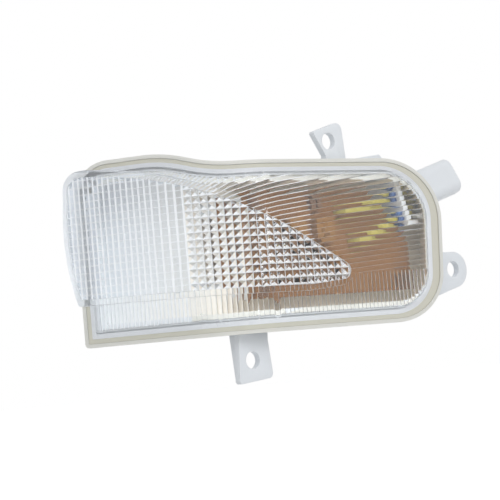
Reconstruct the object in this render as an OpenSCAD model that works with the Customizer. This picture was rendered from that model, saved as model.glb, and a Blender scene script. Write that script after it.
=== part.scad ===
// Turn signal lamp that wraps round the corner of a door mirror.
// The lens is drawn from its mould at an angle between the flat front and the flat side.
// Outlines are given in that draw view: u to the right, v up, and w towards the viewer.
// In plan, the skin is a flat front at y = 0, a round corner, and a flat side.
// The part's origin is the front of the lower screw hole.

/* [Front and side] */
// Angle from the flat front to the draw direction, seen from above
draw_turn = 40; // [36:1:44]
// Angle between the flat front and the flat side
side_turn = 65; // [60:1:70]
// Radius of the corner between front and side
corner_r = 27.9; // [25:0.1:31]
// Place of the corner's centre along the front
corner_x = 12.3; // [10:0.1:15]

/* [Rim outline] */
// Rim's lower edge, below the draw axis
rim_low = 26; // [25:0.1:28]
// Rim's upper edge along its straight part
rim_high = 28.6; // [27.5:0.1:30]
// Rim's highest point, over the side
rim_crest = 33.5; // [32:0.1:35]
// Rim's left end
rim_left = 55.4; // [54.5:0.1:56]
// Rim's right end
rim_right = 65.6; // [64:0.1:68]
// How much shorter the lower right corner is than the upper
right_lean = 1; // [0:0.1:2]
// Radius of the lower left corner
low_left_r = 1.2; // [0.8:0.1:2]
// Radius of the lower right corner
low_right_r = 17; // [15:0.5:18]
// Radius of the upper right corner
high_right_r = 20; // [18:0.5:21]
// Radius of the upper left corner
high_left_r = 12; // [10:0.5:14]
// Radius of both bends where the upper edge rises
rise_r = 45; // [40:1:50]
// Where that rise starts
rise_u = -3; // [-8:0.5:2]

/* [Rim and channel] */
// Wall outside the channel
rim_wall = 1.2; // [1:0.1:1.6]
// Width of the sealant between the wall and the lens foot
bead_w = 1.5; // [1.2:0.1:1.8]
// Extra sealant width at the right end
bead_extra = 1.3; // [0.5:0.1:1.6]
// Width of the lens foot
foot_w = 2; // [1.6:0.1:2.3]
// Gap between the lens foot and the channel's inner wall
foot_gap = 0.7; // [0.4:0.1:1]
// Depth of the rim behind the skin
rim_depth = 6; // [5.6:0.1:7]
// Depth of the channel behind the skin
channel_depth = 4.2; // [3.8:0.1:4.6]
// Sealant under the lens foot
foot_clear = 0.3; // [0.2:0.05:0.5]
// Play left between pieces that are glued or snapped together
play = 0.1; // [0.05:0.05:0.2]

/* [Housing] */
// Wall of the housing
body_wall = 1.6; // [1.4:0.1:2]
// Depth of the housing behind the flat front
body_deep = 20; // [19:0.5:23]
// Depth of the housing behind the flat side
side_deep = 14; // [13:0.5:16]
// Radius of the housing's back corner
back_r = 10; // [8:0.5:12]

/* [Ears] */
// Place of the ears' front face behind the flat front
ear_y = 8; // [7:0.5:9]
// Thickness of the ears
ear_t = 2.4; // [2:0.1:3]
// Screw that goes through each ear
ear_screw_d = 5; // [4:0.5:5.5]
// Room round that screw
ear_screw_room = 0.6; // [0.4:0.1:1]
// Upper hole, along the front
high_ear_x = 44.5; // [42:0.5:48]
// Upper hole, above the draw axis
high_ear_z = 35.4; // [34.5:0.1:37]
// Lower hole, along the front
low_ear_x = 4; // [3:0.5:6]
// Lower hole, below the draw axis
low_ear_z = 34.3; // [33.5:0.1:36]
// Right hole, along the front
right_ear_x = 97.1; // [96:0.1:99]
// Right hole, below the draw axis
right_ear_z = 9.1; // [8:0.1:10]
// Radius of the right ear's round end
right_ear_r = 6.2; // [5.6:0.1:6.6]
// Thickness of the gussets behind the ears
gusset_t = 1.8; // [1.4:0.1:2.2]
// Depth of the gussets where they leave the housing
gusset_deep = 3.4; // [3:0.1:5]

/* [Connector] */
// Width of the connector shroud
shroud_w = 12.6; // [12:0.1:13.5]
// Thickness of the connector shroud
shroud_t = 8.6; // [8.2:0.1:9]
// Wall of the connector shroud
shroud_wall = 1.5; // [1.2:0.1:1.7]
// Corner radius of the connector shroud
shroud_r = 3.4; // [2.6:0.1:3.8]
// Rise of the shroud's axis
shroud_rise = 16; // [13:1:19]
// Turn of the shroud about its axis
shroud_twist = 18; // [14:1:22]
// Mouth of the shroud, along the front
mouth_x = 104.2; // [103:0.2:106]
// Mouth of the shroud, behind the front
mouth_y = 13; // [12.6:0.2:13.6]
// Mouth of the shroud, above the draw axis
mouth_z = 23.5; // [23:0.1:24]
// Depth of the socket
socket_deep = 9.5; // [9:0.5:11]
// Thickness of the wall that carries the pins
web_t = 3; // [2.5:0.5:4]
// Diameter of the pins
pin_d = 1.5; // [1.2:0.1:1.8]
// Distance between the pins
pin_pitch = 5; // [4.6:0.1:5.2]
// How far the pins reach into the socket
pin_out = 6.5; // [5:0.5:7.5]
// How far the pins reach into the housing
pin_in = 6; // [5:0.5:7]
// Thickness of the wires
wire_d = 2.6; // [2:0.1:3]
// Outer diameter of the wire seals
seal_d = 4.6; // [4.2:0.1:4.8]
// Length of the wire seals
seal_l = 4.5; // [4:0.5:5]
// Distance between the wire seals
seal_pitch = 8; // [7.6:0.1:9]
// Rise of the wires where they pass their seals
wire_rise = 20; // [16:1:26]

/* [Board] */
// Left end of the circuit board
board_left = 6; // [5:0.5:8]
// Right end of the circuit board
board_right = 77.4; // [76:0.2:79]
// Lower edge of the circuit board
board_low = -15; // [-17:0.5:-14]
// Upper edge of the circuit board
board_high = 19; // [18:0.5:19.5]
// Corner radius of the circuit board
board_r = 2; // [1:0.5:3]
// Cut-off upper right corner of the circuit board
board_cut = 17.5; // [12:0.5:18]
// Front face of the circuit board
board_y = 10; // [9.5:0.1:10.5]
// Thickness of the circuit board
board_t = 1.6; // [1.2:0.1:2]
// Shank diameter of the board screws
screw_d = 2.5; // [2.2:0.1:2.8]
// Head diameter of the board screws
screw_head_d = 5.2; // [4.6:0.1:5.8]
// Height of the board screws' heads
screw_head_h = 1.8; // [1.5:0.1:2.2]
// Length of the board screws under the head
screw_l = 6.5; // [5.5:0.5:7]
// Diameter of the screw bosses
boss_d = 6; // [5:0.5:7]

/* [Light sources] */
// Side of a square light source
led_w = 7.6; // [7:0.1:8]
// Height of its square part
led_h = 3; // [2.6:0.1:3.4]
// Diameter of its dome
dome_d = 4.6; // [4:0.1:5]
// Leg diameter of the light sources
leg_d = 0.7; // [0.5:0.1:0.9]
// Distance between the light sources along the board
led_pitch_x = 12; // [11:0.5:13]
// Distance between the two rows
led_pitch_z = 11; // [10:0.5:12]
// Left column of light sources
led_x = 14; // [13:0.5:16]
// Lower row of light sources
led_z = -5; // [-6:0.5:-4]

/* [Lens] */
// Height of the lens face above the skin
face_up = 3; // [2.6:0.1:3.4]
// Height of the lens ledge above the skin
ledge_up = 1.3; // [1.2:0.05:1.5]
// Height of the fin's overhang above the rim
overhang_up = 0.7; // [0.4:0.05:0.9]
// Wall of the lens
lens_wall = 2; // [1.6:0.1:2.2]
// Inset of the lens face from the rim
face_in = 4.2; // [4:0.1:4.6]
// Height of the fin over the flat front
fin_up_front = 5; // [4.6:0.1:5.6]
// Height of the fin over the flat side
fin_up_side = 9; // [8:0.1:10]
// Corner radius of the fin's skin
fin_r = 36; // [34:0.5:38]

/* [Fin outline] */
// Left end of the fin
fin_left = 58.8; // [58:0.1:59.6]
// Bow radius of the fin's left end
fin_left_r = 85; // [70:1:100]
// Middle height of that bow
fin_left_v = 10; // [8:0.5:12]
// Fin's lower edge at its left end
fin_low = 12.6; // [12:0.1:13.2]
// Drop of the lower edge from left to right
fin_drop = 1.3; // [0.8:0.1:1.6]
// Radius of the fin's upper edge
fin_top_r = 142.6; // [138:0.2:147]
// Fin's highest point
fin_top = 30.8; // [30.2:0.1:31.4]
// Where that highest point would be
fin_top_u = -63.4; // [-65:0.2:-62]
// Where the upper edge turns straight
fin_bend_u = 15; // [12:0.5:18]
// Radius of the fin's tip
tip_r = 5; // [4.4:0.1:5.6]
// Right end of the fin
tip_u = 32.8; // [32:0.1:33.6]
// Middle of the fin's tip
tip_v = -7.9; // [-8.4:0.1:-7.4]
// Radius of the fin's upper left corner
fin_corner_r = 6; // [4.5:0.5:7]

/* [Optics] */
// Width of the lower ribs on the front
rib_front = 1.72; // [1.5:0.02:1.9]
// Width of the lower ribs on the side
rib_side = 1.05; // [0.9:0.05:1.2]
// Height of the lower ribs
rib_h = 0.35; // [0.2:0.05:0.45]
// Upper end of the lower ribs, beside the tip
rib_top = -9; // [-10:0.5:-8]
// Depth of the long flutes
flute_h = 0.32; // [0.2:0.02:0.4]
// Height of one row of prisms
prism_v = 2.28; // [2.1:0.02:2.5]
// Depth of the prisms
prism_h = 0.9; // [0.6:0.05:1]
// Depth of the pillows
pillow_h = 0.3; // [0.2:0.05:0.4]

/* [Hidden] */

// Longer than anything in the part, for cuts that run right through
far = 150;
// Step of the points along arcs
fine_step = 4;
round_step = 9;
$fn = 48;

// Insets from the rim outline
foot_in = rim_wall + bead_w;
foot_end_in = foot_in + foot_w;
channel_in = foot_end_in + foot_gap;
cavity_in = channel_in + body_wall;
// The lens's upright walls are thinner than its face
upright_share = 0.52;
lens_cavity_in = face_in + lens_wall * upright_share;
sealed_at = -0.6;

// Heights of the inner faces of the lens
face_inner = face_up - lens_wall;
fin_inner_front = fin_up_front - lens_wall;
fin_inner_side = fin_up_side - lens_wall;
fin_inner_r = fin_r - lens_wall;
fin_floor_up = face_up - lens_wall / 4;

origin_at = [low_ear_x, ear_y, -low_ear_z];

// Points on an arc, from angle a0 to a1
function arc(c, r, a0, a1, step = round_step) =
    let (n = max(1, ceil(abs(a1 - a0) / step)))
    [for (i = [0:n]) let (a = a0 + (a1 - a0) * i / n) c + r * [cos(a), sin(a)]];

// Shape of the skin in plan: a front height, a side height and a corner radius.
// side_base is how far the flat side lies from the frame's corner.
side_out = [-sin(side_turn), -cos(side_turn)];
side_base = side_out * [corner_x, corner_r] + corner_r;
function corner_centre(front, side, r) =
    let (cy = r - front)
    [(side_base + side - r - side_out.y * cy) / side_out.x, cy];
function plan_points(front, side, r) =
    let (c = corner_centre(front, side, r), along = [side_out.y, -side_out.x])
    concat(
        [[far, far], [far, -front]],
        [for (p = arc(c, r, 270, 270 - side_turn, fine_step)) p],
        [c + r * side_out + far * along]
    );

// Height w of such a skin over the point u of the draw view
function skin_w(u, front, side, r) =
    let (c = corner_centre(front, side, r),
         cu = c.x * cos(draw_turn) - c.y * sin(draw_turn),
         cw = -c.x * sin(draw_turn) - c.y * cos(draw_turn),
         a = draw_turn, b = side_turn - draw_turn)
    u > cu + r * sin(a) ? cw + r * cos(a) - (u - cu - r * sin(a)) * tan(a)
    : u < cu - r * sin(b) ? cw + r * cos(b) + (u - cu + r * sin(b)) * tan(b)
    : cw + sqrt(r * r - (u - cu) * (u - cu));

// Rim outline in the draw view, moved in by d, and by extra at the right end
rise_c = [rise_u, rim_high + rise_r];
crest_c = let (dv = rim_high - rim_crest + 2 * rise_r)
    [rise_u - sqrt(4 * rise_r * rise_r - dv * dv), rim_crest - rise_r];
rise_a = asin((rise_c.x - crest_c.x) / (2 * rise_r));
least_r = 0.4;
function rim_points(d, extra = 0) =
    let (bl = max(low_left_r - d, least_r))
    concat(
        arc([d + bl - rim_left, d + bl - rim_low], bl, 180, 270, 30),
        arc([rim_right - right_lean - low_right_r - extra, low_right_r - rim_low],
            low_right_r - d, 270, 357),
        arc([rim_right - high_right_r - extra, rim_high - high_right_r], high_right_r - d, 357, 450),
        arc(rise_c, rise_r + d, 270, 270 - rise_a, fine_step),
        arc(crest_c, rise_r - d, 90 - rise_a, 90, fine_step),
        arc([high_left_r - rim_left, rim_crest - high_left_r], high_left_r - d, 90, 180)
    );

// Fin outline in the draw view, moved in by d
fin_top_c = [fin_top_u, fin_top - fin_top_r];
fin_left_c = [fin_left_r - fin_left, fin_left_v];
tip_c = [tip_u - tip_r, tip_v];
tip_edge_a = 56;
fin_corner_c = [fin_corner_r - fin_left + 0.9, fin_top - fin_corner_r - 0.6];
function fin_points(d) =
    concat(
        arc(tip_c, tip_r - d, -80, tip_edge_a, 12),
        arc(fin_top_c, fin_top_r - d, acos((fin_bend_u - fin_top_c.x) / (fin_top_r - d)), 85, fine_step),
        arc(fin_corner_c, fin_corner_r - d, 86, 172, 14),
        arc(fin_left_c, fin_left_r - d, 180 - 7,
            180 + asin((fin_left_c.y + fin_low - d) / (fin_left_r - d)), 3),
        [[tip_c.x - 2 * tip_r, -fin_low - fin_drop + d]]
    );

// Turns a shape from the draw view into the part's frame
module from_draw_view() {
    rotate([0, 0, -draw_turn])
        rotate([90, 0, 0])
            children();
}

module draw_prism(points) {
    from_draw_view()
        linear_extrude(height = 2 * far, center = true)
            polygon(points);
}

// Prism of a band between two outlines
module draw_band(outer, inner) {
    from_draw_view()
        linear_extrude(height = 2 * far, center = true)
            difference() {
                polygon(outer);
                polygon(inner);
            }
}

module tall() {
    linear_extrude(height = far, center = true)
        children();
}

// All that lies behind the skin at one height
module behind(up) {
    tall() polygon(plan_points(up, up, corner_r + up));
}

// The layer between two heights of the skin
module layer(up, down) {
    tall()
        difference() {
            polygon(plan_points(up, up, corner_r + up));
            polygon(plan_points(down, down, corner_r + down));
        }
}

// Plate parallel to the flat front, from its outline in x and z
module plate(points, y, t) {
    translate([0, y + t, 0])
        rotate([90, 0, 0])
            linear_extrude(height = t)
                polygon(points);
}

// Cylinder along y
module y_rod(x, z, y, l, d) {
    translate([x, y, z])
        rotate([-90, 0, 0])
            cylinder(h = l, d = d);
}

// Ear outlines about their holes; each foot runs in to the housing
high_ear_foot = rim_high - channel_in - high_ear_z;
high_ear_points = concat(
    [[-1.7, high_ear_foot], [7.6, high_ear_foot]],
    arc([3.9, 3.6], 2.5, 0, 100, 20),
    arc([-5.4, 2.6], 0.8, 100, 200, 30),
    [[-1.7, -4.9]]
);
low_ear_foot = low_ear_z - rim_low + channel_in;
low_ear_points = concat(
    arc([-4.8, -6.2], 1.1, 180, 265, 20),
    arc([6, -4.3], 1.9, 280, 364, 20),
    [[6.9, 5.9], [7.2, low_ear_foot], [-4.4, low_ear_foot]]
);
right_ear_foot = 16;
right_ear_points = concat(
    arc([0.5, -0.2], right_ear_r, -68, 90, 12),
    [[-right_ear_foot, 6], [-right_ear_foot, -11], [-8.5, -8.9]]
);
ears = [
    [[high_ear_x, high_ear_z], high_ear_points],
    [[low_ear_x, -low_ear_z], low_ear_points],
    [[right_ear_x, -right_ear_z], right_ear_points]
];

module ear_plates() {
    for (e = ears)
        plate([for (p = e[1]) p + e[0]], ear_y, ear_t);
}

// Gusset: a triangle in y and z, as thick as gusset_t, along the left edge of an ear
module gusset(x, z_root, z_tip, lean) {
    translate([x, ear_y + ear_t / 2, z_root])
        rotate([0, lean, 0])
            rotate([90, 0, 90])
                linear_extrude(height = gusset_t)
                    polygon([[0, 0], [gusset_deep + ear_t / 2, 0], [ear_t / 2 + 0.2, z_tip - z_root],
                             [0, z_tip - z_root]]);
}

module gussets() {
    gusset(low_ear_x - 4.3, -rim_low + rim_wall, -low_ear_z - 6.5, 5);
    gusset(high_ear_x - 1, rim_high - channel_in - 0.5, high_ear_z - 3.5, -2);
}

// Connector: local z runs out of the mouth, local x across the wide way
module at_mouth(back = 0) {
    translate([mouth_x, mouth_y, mouth_z])
        rotate([0, 90 - shroud_rise, 0])
            rotate([0, 0, -shroud_twist])
                translate([0, 0, -back])
                    children();
}

module rounded_bar(w, t, r, l) {
    linear_extrude(height = l)
        polygon(concat(
            arc([w / 2 - r, t / 2 - r], r, 0, 90, 15),
            arc([r - w / 2, t / 2 - r], r, 90, 180, 15),
            arc([r - w / 2, r - t / 2], r, 180, 270, 15),
            arc([w / 2 - r, r - t / 2], r, 270, 360, 15)));
}

web_back = socket_deep + web_t;
shroud_l = 26.5;
pocket_l = 20;
module shroud_outside() {
    at_mouth(shroud_l) rounded_bar(shroud_w, shroud_t, shroud_r, shroud_l);
}

module shroud_inside(back, l) {
    inner_r = shroud_r - shroud_wall;
    at_mouth(back)
        rounded_bar(shroud_w - 2 * shroud_wall, shroud_t - 2 * shroud_wall, inner_r, l);
}

module at_pin(side) {
    at_mouth(web_back)
        translate([-side * pin_pitch / 2, 0, 0])
            children();
}

// Board screws sit in bosses that stand on the back wall
screw_places = [[board_left + 5, board_low + 3], [board_right - 5, board_low + 3],
                [board_left + 4, board_high - 4], [board_left + 30, board_high - 4]];
boss_y = board_y + board_t + play;
boss_l = body_deep - boss_y - body_wall / 2;

module bosses() {
    for (p = screw_places)
        difference() {
            y_rod(p.x, p.y, boss_y, boss_l, boss_d);
            y_rod(p.x, p.y, boss_y - play, screw_l - board_t + 1, screw_d + 2 * play);
        }
}

// Wall with the two wire seals, which closes off a corner chamber round the pins' inner ends.
// Its local z points along the wires, and its local x from the upper seal to the lower one.
seals_x = 72;
seals_y = 7.9;
seals_z = 13.4;
seal_wall_t = 2;
chamber_low = 7.6;
chamber_high = 10;
chamber_l = 20;
chamber_ahead = 3.4;
module at_seal(side = 0) {
    translate([seals_x, seals_y, seals_z])
        rotate([0, 90 - wire_rise, 0])
            translate([-side * seal_pitch / 2, 0, 0])
                children();
}

module seal_wall() {
    deep = body_deep - body_wall / 2 - seals_y;
    intersection() {
        difference() {
            at_seal()
                union() {
                    translate([-chamber_high, -chamber_ahead, -seal_wall_t / 2])
                        cube([chamber_high + chamber_low, chamber_ahead + deep, seal_wall_t]);
                    translate([chamber_low - body_wall, -chamber_ahead, 0])
                        cube([body_wall, chamber_ahead + deep, chamber_l]);
                }
            for (side = [-1, 1])
                at_seal(side)
                    cylinder(h = 2 * seal_wall_t, d = seal_d + 2 * play, center = true);
        }
        draw_prism(rim_points(channel_in + body_wall / 2));
    }
}

// Lug on top of the housing that shows above the rim
lug_x = 57;
lug_w = 11.5;
lug_top = 31;
lug_fall = 1.2;
lug_y = 8.5;
lug_t = 3;
module locating_lug() {
    low = rim_high - channel_in - body_wall / 2;
    plate([[lug_x - 2, low], [lug_x + lug_w + 2, low], [lug_x + lug_w, lug_top - 1],
           [lug_x + lug_w - 1, lug_top], [lug_x, lug_top - lug_fall]], lug_y, lug_t);
}

// Vent on the back wall
vent_x = 52;
vent_z = 2;
vent_d = 3;
vent_pad_d = 9;
vent_patch_t = 0.5;

module rear_housing_solid() {
    union() {
        difference() {
            union() {
                intersection() {
                    draw_prism(rim_points(0));
                    layer(0, -rim_depth);
                }
                intersection() {
                    draw_prism(rim_points(channel_in));
                    tall() difference() {
                        polygon(plan_points(-1, -1, corner_r - 1));
                        polygon(plan_points(-body_deep, -side_deep, back_r));
                    }
                }
                ear_plates();
                gussets();
                locating_lug();
                shroud_outside();
            }
            intersection() {
                draw_prism(rim_points(cavity_in));
                tall() difference() {
                    polygon(plan_points(far / 10, far / 10, corner_r));
                    polygon(plan_points(body_wall - body_deep, body_wall - side_deep,
                                        back_r - body_wall));
                }
            }
            intersection() {
                draw_band(rim_points(rim_wall), rim_points(channel_in));
                layer(far / 10, -channel_depth);
            }
            intersection() {
                draw_prism(rim_points(channel_in));
                layer(far / 10, sealed_at - play);
            }
            shroud_inside(socket_deep, socket_deep + 1);
            shroud_inside(web_back + pocket_l, pocket_l);
            for (side = [-1, 1])
                at_pin(side)
                    translate([0, 0, -1])
                        cylinder(h = web_t + 2, d = pin_d + 2 * play);
            for (e = ears)
                y_rod(e[0].x, e[0].y, ear_y - 1, ear_t + 2, ear_screw_d + ear_screw_room);
            y_rod(vent_x, vent_z, body_deep - body_wall - 1, body_wall + 2, vent_d);
        }
        bosses();
        seal_wall();
    }
}

module rear_housing() {
    color("aliceblue")
        translate(-origin_at)
            rear_housing_solid();
}

// A closed sheet over a grid of points [u, v, w], as thick as into, towards the viewer
module grid_sheet(grid, into) {
    ni = len(grid) - 1;
    nj = len(grid[0]) - 1;
    half = (ni + 1) * (nj + 1);
    function at(i, j, side) = side * half + i * (nj + 1) + j;
    points = concat(
        [for (row = grid) for (p = row) p],
        [for (row = grid) for (p = row) p + [0, 0, into]]);
    faces = concat(
        [for (i = [0:ni - 1]) for (j = [0:nj - 1]) for (t = [
            [at(i, j, 0), at(i + 1, j, 0), at(i + 1, j + 1, 0)],
            [at(i, j, 0), at(i + 1, j + 1, 0), at(i, j + 1, 0)],
            [at(i, j, 1), at(i + 1, j + 1, 1), at(i + 1, j, 1)],
            [at(i, j, 1), at(i, j + 1, 1), at(i + 1, j + 1, 1)]]) t],
        [for (i = [0:ni - 1]) for (t = [
            [at(i, 0, 0), at(i, 0, 1), at(i + 1, 0, 1)],
            [at(i, 0, 0), at(i + 1, 0, 1), at(i + 1, 0, 0)],
            [at(i, nj, 0), at(i + 1, nj, 1), at(i, nj, 1)],
            [at(i, nj, 0), at(i + 1, nj, 0), at(i + 1, nj, 1)]]) t],
        [for (j = [0:nj - 1]) for (t = [
            [at(0, j, 0), at(0, j + 1, 1), at(0, j, 1)],
            [at(0, j, 0), at(0, j + 1, 0), at(0, j + 1, 1)],
            [at(ni, j, 0), at(ni, j, 1), at(ni, j + 1, 1)],
            [at(ni, j, 0), at(ni, j + 1, 1), at(ni, j + 1, 0)]]) t]
    );
    from_draw_view()
        polyhedron(points = points, faces = faces, convexity = 6);
}

// Every optic face starts this far inside the wall's inner face
optic_lift = 0.1;
embed = lens_wall / 2;

// Prisms and pillows of the fin: each cell has four corners on the face and a raised centre
function column_step(u) = u > 14 ? 2.28 : u > -20 ? 2.42 : u > -27 ? 2.5 : u > -43 ? 1.9 : 1.6;
function columns(u, end) = u < end ? [u] : concat(columns(u - column_step(u), end), [u]);
prism_edge_u = -18;
function fin_w(u) = skin_w(u, fin_inner_front, fin_inner_side, fin_inner_r) - optic_lift;
module fin_optics() {
    us = columns(tip_u, -fin_left);
    rows = ceil((fin_top + fin_low + fin_drop) / prism_v);
    vs = [for (j = [0:rows]) j * prism_v - fin_low - fin_drop];
    nu = len(us) - 1;
    function raised(i) = us[i] > prism_edge_u ? prism_h : pillow_h;
    corners = [for (u = us) for (v = vs) [u, v, fin_w(u)]];
    centres = [for (i = [0:nu - 1]) for (j = [0:rows - 1])
        [(us[i] + us[i + 1]) / 2, (vs[j] + vs[j + 1]) / 2,
         (fin_w(us[i]) + fin_w(us[i + 1])) / 2 - raised(i)]];
    backs = [for (u = us) for (v = [vs[0], vs[rows]]) [u, v, fin_w(u) + embed]];
    function c(i, j) = i * (rows + 1) + j;
    function m(i, j) = len(corners) + i * rows + j;
    function b(i, j) = len(corners) + len(centres) + 2 * i + j;
    faces = concat(
        [for (i = [0:nu - 1]) for (j = [0:rows - 1]) for (t = [
            [c(i + 1, j), m(i, j), c(i, j)],
            [c(i + 1, j + 1), m(i, j), c(i + 1, j)],
            [c(i, j + 1), m(i, j), c(i + 1, j + 1)],
            [c(i, j), m(i, j), c(i, j + 1)]]) t],
        [for (i = [0:nu - 1]) for (t = [
            [b(i, 1), b(i + 1, 1), b(i + 1, 0), b(i, 0)],
            [b(i, 0), b(i + 1, 0), c(i + 1, 0), c(i, 0)],
            [b(i + 1, 1), b(i, 1), c(i, rows), c(i + 1, rows)]]) t],
        [concat([b(0, 0)], [for (j = [0:rows]) c(0, j)], [b(0, 1)])],
        [concat([b(nu, 1)], [for (j = [rows:-1:0]) c(nu, j)], [b(nu, 0)])]
    );
    intersection() {
        from_draw_view()
            polyhedron(points = concat(corners, centres, backs), faces = faces, convexity = 6);
        draw_prism(fin_points(lens_wall - 0.2));
    }
}

// Round profile of a rib or flute, from valley to valley in four steps
profile = [0, 0.75, 1, 0.75];

// Upright ribs of the lower strip
rib_foot = rim_low - lens_cavity_in + 0.3;
function rib_lines(u, end) =
    let (step = u < -20 ? rib_side * cos(side_turn - draw_turn) : u < 10 ? rib_front * 0.92
        : rib_front * cos(draw_turn))
    u > end ? [u] : concat([for (q = [0:3]) u + q * step / 4], rib_lines(u + step, end));
module strip_optics() {
    us = rib_lines(1 - rim_left + channel_in, rim_right);
    grid_sheet([for (i = [0:len(us) - 1]) [for (v = [-rib_foot, rib_top])
        [us[i], v, skin_w(us[i], face_inner, face_inner, corner_r + face_inner)
            - optic_lift - rib_h * profile[i % 4]]]], embed);
}

// Long flutes that fan out to the right: at each u, the height from one flute to the next
flute_fan = [[-45, 0.7], [-39, 0.79], [-33, 0.88], [-27, 0.99], [-22, 1.09], [-17, 1.2],
             [-11, 1.31], [-5, 1.4], [2, 1.46], [9.4, 1.52], [30, 1.62], [64, 1.7]];
flute_count = 62;
flute_fall = 0.07;
module flute_optics() {
    function lowest(u) = rib_top - 1 - flute_fall * (rim_right - u);
    grid_sheet([for (f = flute_fan) [for (k = [0:4 * flute_count])
        let (v = lowest(f[0]) + f[1] * k / 4)
        [f[0], v, skin_w(f[0], face_inner, face_inner, corner_r + face_inner)
            - optic_lift - flute_h * f[1] / flute_fan[11][1] * profile[k % 4]]]], embed);
}

// Nubs that centre the lens foot in its channel
nub_places = [-44, -30, -16, -2, 12, 26, 40];
nub_r = 0.5;
module centring_nubs() {
    from_draw_view()
        for (u = nub_places)
            for (v = [foot_end_in - rim_low, rim_high - foot_end_in])
                if (v < 0 || u > rise_u)
                    hull()
                        for (deep = [1.4, channel_depth - 1])
                            translate([u, v, skin_w(u, 0, 0, corner_r) - deep])
                                sphere(r = nub_r, $fn = 8);
}

module lens_solid() {
    fin_cavity = fin_points(lens_wall);
    face_cavity = rim_points(lens_cavity_in, bead_extra);
    union() {
        difference() {
            union() {
                intersection() {
                    draw_prism(rim_points(face_in, bead_extra));
                    layer(face_up, sealed_at);
                }
                intersection() {
                    draw_prism(rim_points(foot_in, bead_extra));
                    layer(ledge_up, sealed_at);
                }
                intersection() {
                    draw_band(rim_points(foot_in + play, bead_extra), rim_points(foot_end_in));
                    layer(0, foot_clear - channel_depth);
                }
                intersection() {
                    draw_prism(fin_points(0));
                    tall() difference() {
                        polygon(plan_points(fin_up_front, fin_up_side, fin_r));
                        polygon(plan_points(overhang_up, overhang_up, corner_r + overhang_up));
                    }
                }
            }
            intersection() {
                draw_prism(face_cavity);
                behind(face_inner);
            }
            intersection() {
                draw_prism(fin_cavity);
                tall() difference() {
                    polygon(plan_points(fin_inner_front, fin_inner_side, fin_inner_r));
                    polygon(plan_points(fin_floor_up, fin_floor_up, corner_r + fin_floor_up));
                }
            }
            intersection() {
                draw_prism(fin_cavity);
                draw_prism(face_cavity);
                tall() polygon(plan_points(fin_inner_front, fin_inner_side, fin_inner_r));
            }
        }
        fin_optics();
        centring_nubs();
        difference() {
            intersection() {
                union() {
                    strip_optics();
                    intersection() {
                        flute_optics();
                        from_draw_view()
                            translate([-far, rib_top, -far])
                                cube([2 * far, far, 2 * far]);
                    }
                }
                draw_prism(rim_points(lens_cavity_in - 0.2, bead_extra));
            }
            draw_prism(fin_points(lens_wall - 0.2));
        }
    }
}

module front_lens() {
    color("lightcyan", 0.5)
        translate(-origin_at)
            lens_solid();
}

module seal_bead() {
    color("wheat")
        translate(-origin_at)
            difference() {
                intersection() {
                    draw_band(rim_points(rim_wall + play / 2), rim_points(channel_in - play / 2));
                    layer(sealed_at / 2, play / 2 - channel_depth);
                }
                intersection() {
                    draw_band(rim_points(foot_in + play / 2, bead_extra), rim_points(channel_in));
                    layer(far / 10, foot_clear - play / 2 - channel_depth);
                }
                intersection() {
                    draw_prism(rim_points(foot_in - play / 2, bead_extra));
                    layer(far / 10, sealed_at - play / 2);
                }
            }
}

// Through holes of the board: light source legs and wires
leg_at = led_w / 2 - 1.3;
led_places = [for (k = [0:5]) [led_x + (k % 3) * led_pitch_x, led_z + floor(k / 3) * led_pitch_z]];
wire_holes = [[46, 11.5], [51, 2.2]];

module circuit_board() {
    x0 = board_left;
    x1 = board_right;
    z0 = board_low;
    z1 = board_high;
    r = board_r;
    color("peru")
        translate(-origin_at)
            difference() {
                plate(concat(
                    arc([x0 + r, z0 + r], r, 180, 270, 15),
                    arc([x1 - r, z0 + r], r, 270, 360, 15),
                    [[x1, z1 - board_cut], [x1 - board_cut, z1]],
                    arc([x0 + r, z1 - r], r, 90, 180, 15)), board_y, board_t);
                for (p = screw_places)
                    y_rod(p.x, p.y, board_y - 1, board_t + 2, screw_d + 0.5);
                for (p = led_places)
                    for (sx = [-1, 1])
                        for (sz = [-1, 1])
                            y_rod(p.x + sx * leg_at, p.y + sz * leg_at, board_y - 1, board_t + 2,
                                  leg_d + 2 * play);
                for (p = wire_holes)
                    y_rod(p.x, p.y, board_y - 1, board_t + 2, wire_d + 2 * play);
            }
}

module board_screws() {
    color("silver")
        translate(-origin_at)
            for (p = screw_places)
                difference() {
                    union() {
                        y_rod(p.x, p.y, board_y - play - screw_head_h, screw_head_h, screw_head_d);
                        y_rod(p.x, p.y, board_y - play - 0.5, screw_l + 0.5, screw_d);
                    }
                    for (a = [0, 90])
                        translate([p.x, board_y - play - screw_head_h, p.y])
                            rotate([0, a, 0])
                                cube([3, 2, 0.7], center = true);
                }
}

module led(k) {
    p = led_places[k];
    base_y = board_y - play - led_h;
    color("gold")
        translate(-origin_at) {
            plate([for (q = [[-1, -0.6], [-0.6, -1], [1, -1], [1, 1], [-1, 1]]) p + q * led_w / 2],
                  base_y, led_h);
            translate([p.x, base_y + 0.5, p.y])
                rotate([90, 0, 0])
                    cylinder(h = 1.5, d1 = dome_d, d2 = dome_d * 0.6);
            for (sx = [-1, 1])
                for (sz = [-1, 1])
                    y_rod(p.x + sx * leg_at, p.y + sz * leg_at, base_y + 1, led_h + board_t + 0.4,
                          leg_d);
        }
}

// Flat parts soldered to the back of the board
module back_part(x, z, w, h, t, end_w, body_colour) {
    y0 = board_y + board_t + play;
    translate(-origin_at) {
        color(body_colour)
            translate([x - w / 2, y0, z - h / 2])
                cube([w, t, h]);
        color("silver")
            for (s = [-1, 1])
                translate([x + s * w / 2 - end_w / 2, y0, z - h / 2 + 0.2])
                    cube([end_w, t - 0.2, h - 0.4]);
    }
}

module resistor_1() {
    back_part(60, -6, 6.3, 3.2, 0.8, 1, "dimgray");
}

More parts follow.
